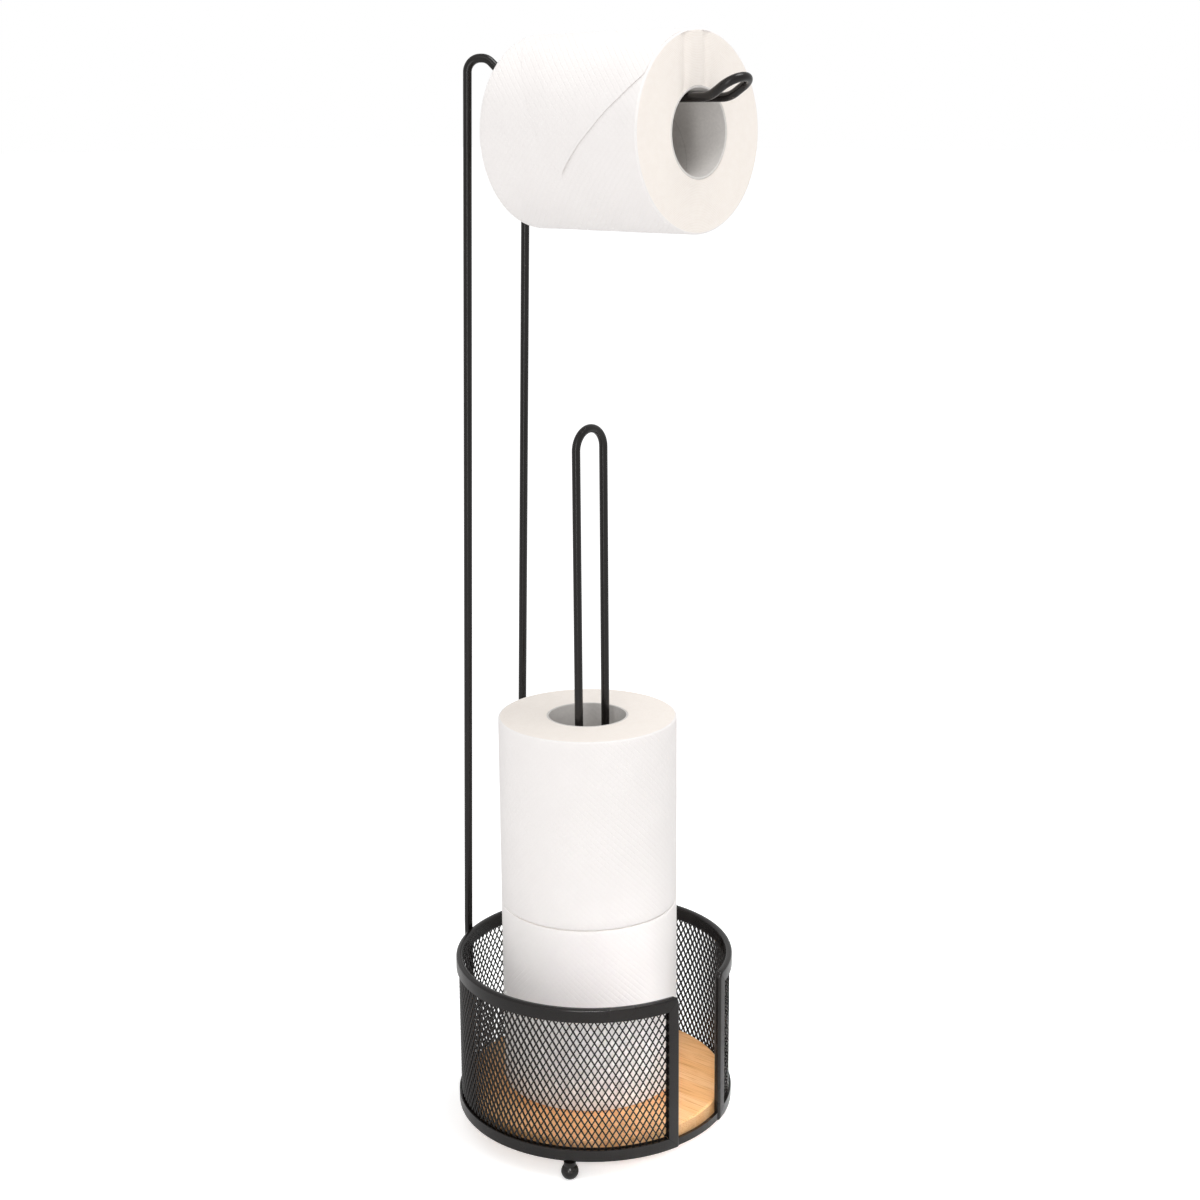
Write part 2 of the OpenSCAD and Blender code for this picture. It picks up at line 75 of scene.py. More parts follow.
def rotation(name, description, default_degrees):
    """An angle property, given in degrees."""
    return FloatProperty(name=name, description=description, default=math.radians(default_degrees),
                         unit="ROTATION")


def amount(name, description, default, unit="NONE"):
    """A property that is a plain number."""
    return FloatProperty(name=name, description=description, default=default, unit=unit)


class WireSettings(bpy.types.PropertyGroup):
    """Sizes of the bent wire of the legs, the arm and the spindle."""
    diameter: size("Diameter", "Diameter of the wire", 4.4)
    leg_spacing: size("Leg spacing", "Distance between the two legs", 43.4)
    leg_lean: size("Leg lean", "How far the legs lean forward by their tops", 14.4)
    leg_foot: size("Leg foot", "Height of the legs' lower ends", 10)
    arm_height: size("Arm height", "Height of the roll arm", 545.3)
    arm_spacing: size("Arm spacing", "Distance between the two arm wires", 16)
    arm_reach: size("Arm reach", "Distance from the basket's axis to the arm's upturn", 81.5)
    loop_tilt: rotation("Loop tilt", "Angle that the arm's end loop tilts up by", 32)
    loop_length: size("Loop length", "Length of the tilted wires before the half circle", 8.8)
    hump_rise: size("Hump rise", "Height of the hump over the arm", 20)
    hump_bend: size("Hump bend", "Bend radius of the hump", 6.9)
    hump_foot: size("Hump foot", "Distance from the basket's axis back to the hump's foot", 33)
    spindle_top: size("Spindle top", "Height of the spindle's top", 384)
    spindle_spacing: size("Spindle spacing", "Distance between the spindle's two wires", 21.4)
    spindle_foot: size("Spindle foot", "Height of the plate that the spindle stands on", 22.5)
    sides: IntProperty(name="Sides", description="Facets round the wire", default=32, min=12)


class BasketSettings(bpy.types.PropertyGroup):
    """Sizes of the folded trim and the expanded metal of the basket."""
    diameter: size("Diameter", "Outside diameter over the trim", 150)
    ground: size("Ground", "Height of the foot trim above the floor", 10)
    height: size("Height", "Height of the basket wall", 86)
    opening: size("Opening", "Clear width of the front opening", 35)
    rim_trim: size("Rim trim", "Height of the trim round the rim", 7.4)
    foot_trim: size("Foot trim", "Height of the trim round the foot", 7)
    side_trim: size("Side trim", "Width of the trim beside the opening", 6.8)
    trim_thickness: size("Trim thickness", "Thickness of the folded trim", 3.6)
    trim_sheet: size("Trim sheet", "Thickness of the sheet in the trim", 0.8)
    fold_radius: size("Fold radius", "Outside radius of the trim's fold", 1.4)
    corner_radius: size("Corner radius", "Radius of the corners at the rim", 4)
    mesh_sheet: size("Mesh sheet", "Thickness of the expanded metal", 0.7)
    strand: size("Strand", "Width of one strand of the mesh", 0.62)
    strand_tilt: size("Strand tilt", "Depth that each strand leans through", 0.2)
    mesh_foot: size("Mesh foot", "Height of the mesh's lower edge", 15.2)
    diamond_columns: IntProperty(name="Diamond columns", description="Diamonds round the wall", default=117)
    diamond_rows: IntProperty(name="Diamond rows", description="Diamonds up the wall", default=13)


class RollSettings(bpy.types.PropertyGroup):
    """Sizes of the paper rolls."""
    diameter: size("Diameter", "Outside diameter of a roll", 95)
    width: size("Width", "Width of a spare roll", 103)
    hanging_width: size("Hanging width", "Width of the hanging roll", 98)
    core_bore: size("Core bore", "Bore of the cardboard core", 41)
    core_wall: size("Core wall", "Wall of the cardboard core", 1.2)
    soft_edge: size("Soft edge", "Radius of a roll's soft edges", 1)
    hang_front: size("Hanging front", "Distance of the hanging roll's front face", 70)
    hang_height: size("Hanging height", "Height of the hanging roll's axis", 529.141)
    spare_x: size("Spare offset across", "Sideways offset of the spare rolls", 2)
    spare_y: size("Spare offset back", "Offset of the spare rolls towards the legs", 5)
    lower_foot: size("Lower roll foot", "Height of the lower roll's underside", 21.3)
    upper_foot: size("Upper roll foot", "Height of the upper roll's underside", 124.6)
    sag: size("Sag", "How far the upper roll's soft paper sags on to the lower roll", 0.22)


class FinishSettings(bpy.types.PropertyGroup):
    """Colours of the finishes."""
    coat: colour("Powder coat", "Black coating of all the steel", "#130f0d")
    bamboo_light: colour("Light bamboo", "Palest bamboo strips", "#fdd09a")
    bamboo_dark: colour("Dark bamboo", "Darkest bamboo strips", "#f5b878")
    bamboo_fibre: colour("Bamboo fibre", "Fibre streaks and joints", "#d48c4a")
    tissue: colour("Tissue", "Paper on the rolls' sides", "#fbf7f5")
    tissue_shade: colour("Tissue shade", "Slightly greyer patches of the paper", "#f1ecea")
    tissue_end: colour("Tissue end", "Paper at the rolls' cut ends", "#fdf6ef")
    # Painted shade: colour of the gaps between the wound layers on the rolls' cut ends
    tissue_gap_shade: colour("Tissue line", "Gaps between the wound layers", "#ecdfd3")
    card: colour("Card", "Cardboard of the cores", "#e7e3df")
    zinc: colour("Zinc", "Plating of the screws", "#a9abae")
    floor: colour("Floor", "Floor under the holder", "#f4f4f4")


class StageSettings(bpy.types.PropertyGroup):
    """The camera's place and the strength of the lights."""
    azimuth: rotation("Azimuth", "Direction the camera looks from", -49.2)
    distance: size("Distance", "Level distance from the basket's axis to the camera", 964.73)
    height: size("Height", "Height of the camera", 534.27)
    pitch: rotation("Pitch", "Angle that the camera looks down by", 13.24)
    yaw: rotation("Yaw", "Angle that the camera looks aside by", 1.53)
    roll: rotation("Roll", "Turn of the camera about its own axis", -0.17)
    lens: amount("Lens", "Focal length in millimetres", 57.195)
    shift_x: amount("Shift across", "Lens shift across the frame", -0.0337)
    shift_y: amount("Shift up", "Lens shift up the frame", -0.0249)
    key: amount("Key light", "Power of the key light", 2.5, "POWER")
    top: amount("Top light", "Power of the light from above", 6.2, "POWER")
    front: amount("Front light", "Power of the tall strip light to the left of the camera", 5.2, "POWER")
    basket: amount("Basket light", "Power of the narrow light into the basket", 0.06, "POWER")
    world: amount("World light", "Strength of the world's light", 0.71)
    floor_lift: amount("Floor lift", "White added to the floor as the camera sees it", 0.5)


def add_node(tree, kind, inputs=None, **settings):
    """Adds a shader node with its settings. An input is given a value, or the output linked to it."""
    node = tree.nodes.new("ShaderNode" + kind)
    for name, value in settings.items():
        setattr(node, name, value)
    for socket, value in (inputs or {}).items():
        if isinstance(value, bpy.types.NodeSocket):
            tree.links.new(value, node.inputs[socket])
        else:
            node.inputs[socket].default_value = value
    return node


def rgba(value):
    """A colour as a shader socket takes it; an output stays as it is."""
    return value if isinstance(value, bpy.types.NodeSocket) else (*value, 1.0)


def maths(tree, operation, *inputs, clamp=False):
    """The result of one operation on numbers."""
    node = add_node(tree, "Math", dict(enumerate(inputs)), operation=operation, use_clamp=clamp)
    return node.outputs["Value"]


def vector_maths(tree, operation, *inputs):
    """The vector that one operation on vectors gives."""
    node = add_node(tree, "VectorMath", dict(enumerate(inputs)), operation=operation)
    return node.outputs["Vector"]


def scaled(tree, vector, factor):
    """A vector or a colour, made longer or brighter by a factor."""
    node = add_node(tree, "VectorMath", {0: vector, "Scale": factor}, operation="SCALE")
    return node.outputs["Vector"]


def soft_noise(tree, vector, length, detail, roughness=0.5):
    """Soft noise whose patches are about one length across."""
    node = add_node(tree, "TexNoise", {"Vector": vector, "Scale": 1 / length, "Detail": detail,
                                       "Roughness": roughness})
    return node.outputs["Fac"]


def ramp(tree, value, come, go):
    """Turns a value between the first pair of limits into one between the second pair."""
    node = add_node(tree, "MapRange", {"Value": value, "From Min": come[0], "From Max": come[1],
                                       "To Min": go[0], "To Max": go[1]})
    return node.outputs["Result"]


def blend(tree, share, first, second):
    """A colour between two colours."""
    # The node's colour sockets share their names with others, so they go by number
    node = add_node(tree, "Mix", {"Factor": share, 6: rgba(first), 7: rgba(second)}, data_type="RGBA")
    return node.outputs[2]


def bumped(tree, height, strength, depth, invert=False):
    """The surface's normal, bumped by a height."""
    node = add_node(tree, "Bump", {"Height": height, "Strength": strength, "Distance": depth},
                    invert=invert)
    return node.outputs["Normal"]


def object_point(tree):
    """The point on the piece, in its own coordinates."""
    return add_node(tree, "TexCoord").outputs["Object"]


def coordinates(tree, vector):
    """The X, Y and Z of a vector."""
    return add_node(tree, "SeparateXYZ", {"Vector": vector}).outputs


def roll_coordinates(tree):
    """The point on a roll, its coordinates and its angle about the roll's axis."""
    point = object_point(tree)
    parts = coordinates(tree, point)
    return point, parts, maths(tree, "ARCTAN2", parts["Y"], parts["X"])


def new_material(name, build):
    """A node material, made once; build(tree, finish) returns the inputs of its shader."""
    if name in bpy.data.materials:
        return bpy.data.materials[name]
    material = bpy.data.materials.new(name)
    material.use_nodes = True
    tree = material.node_tree
    tree.nodes.clear()
    shader = add_node(tree, "BsdfPrincipled", build(tree, bpy.context.scene.holder_finish))
    add_node(tree, "OutputMaterial", {"Surface": shader.outputs["BSDF"]})
    return material


def powder_coated_steel():
    """Baked powder coat on steel: a satin black with a faint orange-peel texture."""

    def build(tree, finish):
        point = object_point(tree)
        # Orange peel about 0.9 mm across, a little coarser than real so that it shows
        peel = soft_noise(tree, point, 0.9 * MM, 2)
        cloud = soft_noise(tree, point, 30 * MM, 3)
        tone = ramp(tree, cloud, (0.3, 0.7), (0.85, 1.15))
        return {"Base Color": scaled(tree, finish.coat[:], tone),
                "Roughness": ramp(tree, cloud, (0.35, 0.65), (0.2, 0.28)),
                "IOR": 1.44, "Normal": bumped(tree, peel, 0.12, 0.1 * MM)}

    return new_material("powder_coated_steel", build)


def laminated_bamboo():
    """Edge-laminated bamboo, sanded and oiled: narrow strips with straight dark fibre flecks."""
    strip_width = 6.5 * MM

    def build(tree, finish):
        point = object_point(tree)
        # The strips run along Y, with a thin dark joint between them
        strip = maths(tree, "DIVIDE", coordinates(tree, point)["X"], strip_width)
        dice = add_node(tree, "TexWhiteNoise", {"W": maths(tree, "FLOOR", strip)}, noise_dimensions="1D")
        strip_tone = dice.outputs["Value"]
        from_middle = maths(tree, "ABSOLUTE", maths(tree, "SUBTRACT", maths(tree, "FRACT", strip), 0.5))
        joint = ramp(tree, from_middle, (0.46, 0.5), (0, 1))
        # Fibre flecks about 0.5 mm wide and 25 mm long, shifted from strip to strip
        shift = add_node(tree, "CombineXYZ", {"Y": strip_tone})
        moved = vector_maths(tree, "ADD", point, shift.outputs["Vector"])
        drawn = vector_maths(tree, "MULTIPLY", moved, (2000.0, 40.0, 2000.0))
        fleck = ramp(tree, soft_noise(tree, drawn, 1, 4, 0.6), (0.5, 0.66), (0, 0.9))
        broad = vector_maths(tree, "MULTIPLY", moved, (350.0, 9.0, 350.0))
        tone = maths(tree, "MULTIPLY_ADD", soft_noise(tree, broad, 1, 2), 0.5,
                     maths(tree, "MULTIPLY", strip_tone, 0.6))
        body = blend(tree, tone, finish.bamboo_light, finish.bamboo_dark)
        dark = maths(tree, "MULTIPLY_ADD", joint, 0.45, fleck, clamp=True)
        surface = blend(tree, dark, body, finish.bamboo_fibre)
        # Painted shade: faces that turn away from straight up, the cut edge and the underside, are darkened
        # by the way they face
        facing = coordinates(tree, add_node(tree, "TexCoord").outputs["Normal"])["Z"]
        painted_edge_shade = ramp(tree, facing, (0, 0.9), (0.68, 1))
        return {"Base Color": scaled(tree, surface, painted_edge_shade), "Roughness": 0.48, "IOR": 1.46,
                "Normal": bumped(tree, dark, 0.2, 0.1 * MM, invert=True)}

    return new_material("laminated_bamboo", build)


def embossed_tissue():
    """Soft creped tissue, embossed with fine crossing lines on the rolls' sides."""
    rolls = bpy.context.scene.holder_rolls
    emboss_pitch = 3.6 * MM

    def build(tree, finish):
        point, parts, turn = roll_coordinates(tree)
        round_way = maths(tree, "MULTIPLY", turn, rolls.diameter / 2)
        # Diagonal emboss lines, about 2.5 mm apart, crossing both ways
        waves = []
        for operation in ("ADD", "SUBTRACT"):
            slant = maths(tree, operation, round_way, parts["Z"])
            waves.append(maths(tree, "COSINE", maths(tree, "MULTIPLY", slant, 2 * math.pi / emboss_pitch)))
        grooves = ramp(tree, maths(tree, "MAXIMUM", *waves), (0.7, 1), (1, 0))
        # Crepe ridges about 0.6 mm apart run along the roll's width
        flat = add_node(tree, "CombineXYZ", {"X": round_way, "Y": parts["Z"]}).outputs["Vector"]
        crepe = soft_noise(tree, vector_maths(tree, "MULTIPLY", flat, (1600.0, 500.0, 1.0)), 1, 3)
        height = maths(tree, "MULTIPLY_ADD", crepe, 0.6, grooves)
        patches = ramp(tree, soft_noise(tree, point, 25 * MM, 3), (0.3, 0.7), (0, 0.25))
        return {"Base Color": blend(tree, patches, finish.tissue, finish.tissue_shade),
                "Roughness": 0.92, "IOR": 1.4, "Specular IOR Level": 0.25, "Sheen Weight": 0.15,
                "Normal": bumped(tree, height, 0.6, 0.15 * MM)}

    return new_material("embossed_tissue", build)


def wound_tissue_ends():
    """The cut ends of the winding: fine rings where the layers lie on each other, with painted shade in the
    gaps between them.
    """
    # Layers 0.7 mm apart, coarser than the real 0.2 mm so that they show
    layer_pitch = 0.7 * MM

    def build(tree, finish):
        point, parts, turn = roll_coordinates(tree)
        flat = add_node(tree, "CombineXYZ", {"X": parts["X"], "Y": parts["Y"]}).outputs["Vector"]
        radius = add_node(tree, "VectorMath", {0: flat}, operation="LENGTH").outputs["Value"]
        drift = maths(tree, "MULTIPLY_ADD", soft_noise(tree, point, 18 * MM, 3), 1.6 * MM, radius)
        step = maths(tree, "MULTIPLY_ADD", drift, 2 * math.pi / layer_pitch, turn)
        broken = soft_noise(tree, point, 3 * MM, 4)
        depth = maths(tree, "MULTIPLY", maths(tree, "SINE", step), broken)
        # Painted shade: the gaps between the layers are coloured darker
        line = ramp(tree, depth, (0.1, 0.6), (0, 0.5))
        return {"Base Color": blend(tree, line, finish.tissue_end, finish.tissue_gap_shade),
                "Roughness": 0.95, "IOR": 1.4, "Specular IOR Level": 0.2,
                "Normal": bumped(tree, depth, 0.3, 0.15 * MM)}

    return new_material("wound_tissue_ends", build)


def spiral_wound_card():
    """Grey cardboard tube, spirally wound: a dull fibrous face with the edge of its ply going round, drawn
    as a painted shadow line.
    """

    def build(tree, finish):
        point, parts, turn = roll_coordinates(tree)
        # The ply's edge climbs by the ply's width in one turn
        turns = maths(tree, "DIVIDE", turn, 2 * math.pi)
        climb = maths(tree, "MULTIPLY_ADD", parts["Z"], 1 / PLY_WIDTH, turns)
        # Painted shadow: a thin darker line along the ply's edge
        seam = ramp(tree, maths(tree, "FRACT", climb), (0, 0.012), (0.4, 0))
        fibre = soft_noise(tree, point, 1.5 * MM, 5)
        # The tone mixes the card's fibre with the painted shadow line of the ply's edge
        tone = maths(tree, "MULTIPLY_ADD", fibre, 0.5, seam, clamp=True)
        return {"Base Color": blend(tree, tone, finish.card, [c * 0.62 for c in finish.card]),
                "Roughness": 0.85, "IOR": 1.45, "Specular IOR Level": 0.3,
                "Normal": bumped(tree, tone, 0.25, 0.15 * MM, invert=True)}

    return new_material("spiral_wound_card", build)


def zinc_plated_steel():
    """Zinc-plated screws: a cool grey metal, a little cloudy from the bath."""

    def build(tree, finish):
        cloud = soft_noise(tree, object_point(tree), 1.2 * MM, 3)
        return {"Base Color": rgba(finish.zinc), "Metallic": 1.0,
                "Roughness": ramp(tree, cloud, (0.3, 0.7), (0.28, 0.42))}

    return new_material("zinc_plated_steel", build)


def add_object(name, data):
    """A new object in the scene."""
    thing = bpy.data.objects.new(name, data)
    bpy.context.scene.collection.objects.link(thing)
    return thing


def add_piece(name, points, faces, body, materials, face_material=None, place=None, smooth=35):
    """A mesh piece with clean outward faces, riding on a body.

    face_material is the number of each face's material, and smooth is the sharpest angle, in
    degrees, that is shaded as soft.
    """
    weld_distance = 0.002 * MM
    shortest_edge = 0.001 * MM
    mesh = bpy.data.meshes.new(name)
    mesh.from_pydata([tuple(p) for p in points], [], faces)
    for material in materials:
        mesh.materials.append(material)
    if face_material:
        mesh.polygons.foreach_set("material_index", face_material)
    shape = bmesh.new()
    shape.from_mesh(mesh)
    bmesh.ops.remove_doubles(shape, verts=shape.verts, dist=weld_distance)
    bmesh.ops.dissolve_degenerate(shape, dist=shortest_edge, edges=shape.edges)
    bmesh.ops.recalc_face_normals(shape, faces=shape.faces)
    shape.to_mesh(mesh)
    shape.free()
    mesh.shade_smooth()
    mesh.set_sharp_from_angle(angle=math.radians(smooth))
    piece = add_object(name, mesh)
    if place is not None:
        piece.matrix_world = place
    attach(piece, body)
    return piece


def add_coated(name, points, faces, smooth=35):
    """A powder-coated steel piece of the stand."""
    return add_piece(name, points, faces, "stand", [powder_coated_steel()],
                     smooth=smooth)


def bend_points(before, corner, after, radius, step):
    """Points on the arc that rounds a corner of a route."""
    come = (corner - before).normalized()
    go = (after - corner).normalized()
    turn = come.angle(go)
    inward = (go - come * come.dot(go)).normalized()
    centre = corner - come * radius * math.tan(turn / 2) + inward * radius
    count = max(2, math.ceil(turn / step))
    angles = [turn * k / count for k in range(count + 1)]
    return [centre + radius * (come * math.sin(a) - inward * math.cos(a)) for a in angles]


def rounded_route(corners, radii, step):
    """A route whose inner corners are rounded, each by its own radius."""
    route = [corners[0]]
    for before, corner, after, radius in zip(corners, corners[1:], corners[2:], radii):
        route += bend_points(before, corner, after, radius, step)
    return route + [corners[-1]]


def wire_mesh(route, radius, sides):
    """Points and faces of a round wire along a route, with its cut ends slightly chamfered."""
    chamfer = 0.3 * MM
    start = (route[1] - route[0]).normalized()
    end = (route[-1] - route[-2]).normalized()
    path = [route[0], route[0] + start * chamfer] + route[1:-1] + [route[-1] - end * chamfer, route[-1]]
    radii = [radius - chamfer] + [radius] * (len(path) - 2) + [radius - chamfer]
    points = []
    # The first facet faces along X, and the next rings turn as little as the route lets them
    side = Vector((1, 0, 0))
    for i, point in enumerate(path):
        behind = path[i] - path[i - 1] if i else start
        ahead = path[i + 1] - path[i] if i < len(path) - 1 else end
        along = (behind.normalized() + ahead.normalized()).normalized()
        side = (side - along * side.dot(along)).normalized()
        up = along.cross(side)
        for angle in round_angles(sides):
            points.append(point + radii[i] * (side * math.cos(angle) + up * math.sin(angle)))
    return points, ring_faces(len(path), sides) + end_faces(len(path), sides)


def round_angles(sides):
    """The angles of evenly spaced points round a circle."""
    return [2 * math.pi * k / sides for k in range(sides)]


def ring_faces(rings, count, closed_round=False):
    """Quads between following rings of points; closed_round joins the last ring to the first."""
    faces = []
    for i in range(rings if closed_round else rings - 1):
        below = i * count
        above = (i + 1) % rings * count
        for k in range(count):
            n = (k + 1) % count
            faces.append([below + k, below + n, above + n, above + k])
    return faces


def end_faces(rings, count):
    """One face over the first ring of points and one over the last."""
    last = (rings - 1) * count
    return [list(range(count)), list(range(last, last + count))]


class HOLDER_OT_bend_support_wire(bpy.types.Operator):
    """Bends the one wire of both legs, the humps, the roll arm and its raised end loop"""
    bl_idname = "holder.bend_support_wire"
    bl_label = "Bend the support wire"

    def execute(self, context):
        wire = context.scene.holder_wire
        basket = context.scene.holder_basket
        step = math.radians(5)
        leg_bend = 60 * MM
        upturn_bend = 14.5 * MM
        lean_start = basket.ground + basket.height + 3 * MM
        hump_length = 1.5 * wire.hump_bend
        leg_x = wire.leg_spacing / 2
        leg_y = math.sqrt((basket.diameter / 2 + wire.diameter / 2) ** 2 - leg_x ** 2)
        arm_x = wire.arm_spacing / 2
        arm_z = wire.arm_height
        top = Vector((leg_x, leg_y - wire.leg_lean, arm_z + wire.hump_rise))
        hump_foot = Vector((arm_x, wire.hump_foot, arm_z))
        hump_way = Vector((hump_foot.x - top.x, hump_foot.y - top.y, 0)).normalized()
        outward = Vector((0, -math.cos(wire.loop_tilt), math.sin(wire.loop_tilt)))
        upturn = Vector((arm_x, -wire.arm_reach, arm_z))
        loop_start = upturn + outward * wire.loop_length
        corners = [
            Vector((leg_x, leg_y, wire.leg_foot)),
            Vector((leg_x, leg_y, lean_start)),
            top,
            top + hump_way * hump_length,
            hump_foot,
            upturn,
            loop_start,
        ]
        bends = [leg_bend, wire.hump_bend, wire.hump_bend, wire.hump_bend, upturn_bend]
        half = rounded_route(corners, bends, step)
        middle = Vector((0, loop_start.y, loop_start.z))
        turns = [step * k for k in range(1, round(math.pi / step))]
        loop = [middle + Vector((arm_x * math.cos(a), 0, 0)) + outward * arm_x * math.sin(a)
                for a in turns]
        other = [Vector((-p.x, p.y, p.z)) for p in reversed(half)]
        points, faces = wire_mesh(half + loop + other, wire.diameter / 2, wire.sides)
        piece = add_coated("bent_support_wire", points, faces)
        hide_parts("support_wire")
        return {"FINISHED"}


class HOLDER_OT_bend_spindle(bpy.types.Operator):
    """Bends the hairpin spindle that the spare rolls stand round"""
    bl_idname = "holder.bend_spindle"
    bl_label = "Bend the spindle"

    def execute(self, context):
        wire = context.scene.holder_wire
        half_gap = wire.spindle_spacing / 2
        bend_z = wire.spindle_top - half_gap - wire.diameter / 2
        step = math.radians(4)
        turns = [step * k for k in range(round(math.pi / step) + 1)]
        arch = [Vector((half_gap * math.cos(a), 0, bend_z + half_gap * math.sin(a))) for a in turns]
        right_foot = Vector((half_gap, 0, wire.spindle_foot))
        left_foot = Vector((-half_gap, 0, wire.spindle_foot))
        route = [right_foot] + arch + [left_foot]
        points, faces = wire_mesh(route, wire.diameter / 2, wire.sides)
        piece = add_coated("bent_spindle_wire", points, faces)
        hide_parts("spindle_wire")
        return {"FINISHED"}


def fold_profile(basket, depth):
    """Section of the folded trim: (share of its depth, distance in from the outside) round a channel."""
    fold = basket.fold_radius
    thick = basket.trim_thickness
    sheet = basket.trim_sheet
    hem = 0.2 * MM
    outline = [(depth, hem), (depth - hem, 0)]
    arc = [math.radians(a) for a in range(0, 91, 15)]
    outline += [(fold - fold * math.sin(a), fold - fold * math.cos(a)) for a in arc]
    outline += [(fold - fold * math.cos(a), thick - fold + fold * math.sin(a)) for a in arc]
    outline += [(depth - hem, thick), (depth, thick - hem), (depth, thick - sheet)]
    outline += [(sheet, thick - sheet), (sheet, sheet), (depth, sheet)]
    return [(d / depth, inward) for d, inward in outline]


def corner_shares(share, corner, angle):
    """Place of a trim line round a corner, in shares of the trims' depths from the outer corner."""
    if share >= corner:
        return share, share
    reach = corner - share
    return corner - reach * math.cos(angle), corner - reach * math.sin(angle)


class HOLDER_OT_fold_trims(bpy.types.Operator):
    """Folds the channel trims round the rim, the foot and both sides of the opening"""
    bl_idname = "holder.fold_trims"
    bl_label = "Fold the trims"

    def execute(self, context):
        basket = context.scene.holder_basket
        radius = basket.diameter / 2
        opening_half = basket.opening / 2 / radius
        side_turn = basket.side_trim / radius
        # Hairline between two trims that meet in a mitre
        seam = 0.06 * MM
        foot_corner_radius = 0.6 * MM
        # The straight run of a trim starts this many trim widths from the corner
        straight_from = 1.05
        level_steps = 220
        upright_steps = 8
        # Each level trim's outer edge, height, way in from that edge, and corner as a share of its height
        rim = (basket.ground + basket.height, basket.rim_trim, -1, basket.corner_radius / basket.rim_trim)
        foot = (basket.ground, basket.foot_trim, 1, foot_corner_radius / basket.foot_trim)

        def wall_point(angle, inward, z):
            """A point on the wall: its angle from the opening's middle, its depth and its height."""
            r = radius - inward
            return Vector((r * math.sin(angle), -r * math.cos(angle), z))

        def corner_rings(profile, side, level, angles, out, rise):
            """Rings of a trim round a corner of the opening; out and rise keep the seam open."""
            edge_z, height, up, corner = level
            rings = []
            for degrees in angles:
                ring = []
                for share, inward in profile:
                    x, z = corner_shares(share, corner, math.radians(degrees))
                    turn = side * (opening_half + x * side_turn + out)
                    ring.append(wall_point(turn, inward, edge_z + up * (z * height + rise)))
                rings.append(ring)
            return rings

        def level_trim(level):
            """Rings of a trim that runs round the wall, from mitre to mitre."""
            edge_z, height, up, corner = level
            profile = fold_profile(basket, height)
            near, far = [corner_rings(profile, side, level, range(45, 91, 9), seam / radius, 0)
                         for side in (1, -1)]
            first = opening_half + straight_from * side_turn
            last = 2 * math.pi - first
            run = []
            for k in range(level_steps + 1):
                angle = first + (last - first) * k / level_steps
                run.append([wall_point(angle, t, edge_z + up * s * height) for s, t in profile])
            return near + run + far[::-1]

        def upright_trim(side):
            """Rings of a trim down one side of the opening, from the rim's mitre to the foot's."""
            profile = fold_profile(basket, basket.side_trim)
            upper, lower = [corner_rings(profile, side, level, range(45, -1, -9), 0, seam)
                            for level in (rim, foot)]
            first, last = [edge_z + up * straight_from * height
                           for edge_z, height, up, corner in (rim, foot)]
            run = []
            for k in range(upright_steps + 1):
                z = first + (last - first) * k / upright_steps
                run.append([wall_point(side * (opening_half + s * side_turn), t, z) for s, t in profile])
            return upper + run + lower[::-1]

        trims = {
            "rim_trim": level_trim(rim),
            "foot_trim": level_trim(foot),
            "left_side_trim": upright_trim(-1),
            "right_side_trim": upright_trim(1),
        }
        for node, rings in trims.items():
            count = len(rings[0])
            points = [p for ring in rings for p in ring]
            faces = ring_faces(len(rings), count) + end_faces(len(rings), count)
            piece = add_coated("folded_" + node, points, faces, smooth=40)
            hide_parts(node)
        return {"FINISHED"}


